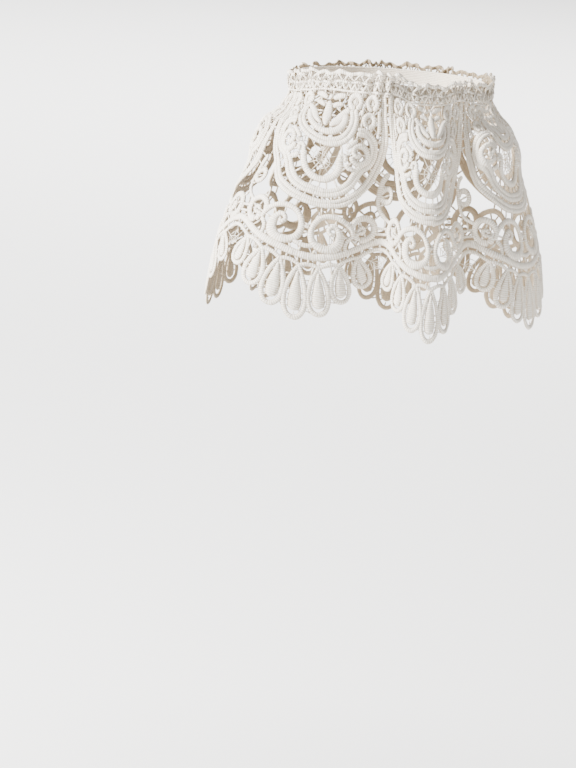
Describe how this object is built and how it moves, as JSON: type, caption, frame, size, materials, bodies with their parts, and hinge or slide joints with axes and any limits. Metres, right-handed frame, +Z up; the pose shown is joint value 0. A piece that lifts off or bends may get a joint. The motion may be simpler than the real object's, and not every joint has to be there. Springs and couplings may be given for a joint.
{
  "type": "lace boot cuff",
  "caption": "Gathered guipure lace cuff on a ring of elastic, worn round the leg so its scalloped hem hangs loose over a boot.",
  "frame": {"origin": "centre of the elastic ring, where the leg holds the cuff", "axes": "+Z up along the leg, -Y towards the toe of the boot, +X towards the wearer's side that the widest flutes face"},
  "size_m": [0.1296, 0.1399, 0.1066],
  "materials": {
    "lace": "matt ivory cotton guipure lace, corded satin stitch",
    "elastic": "matt ivory woven elastic"
  },
  "bodies": {
    "root": {"lace_ruffle": "lace", "elastic_band": "elastic"}
  },
  "joints": []
}
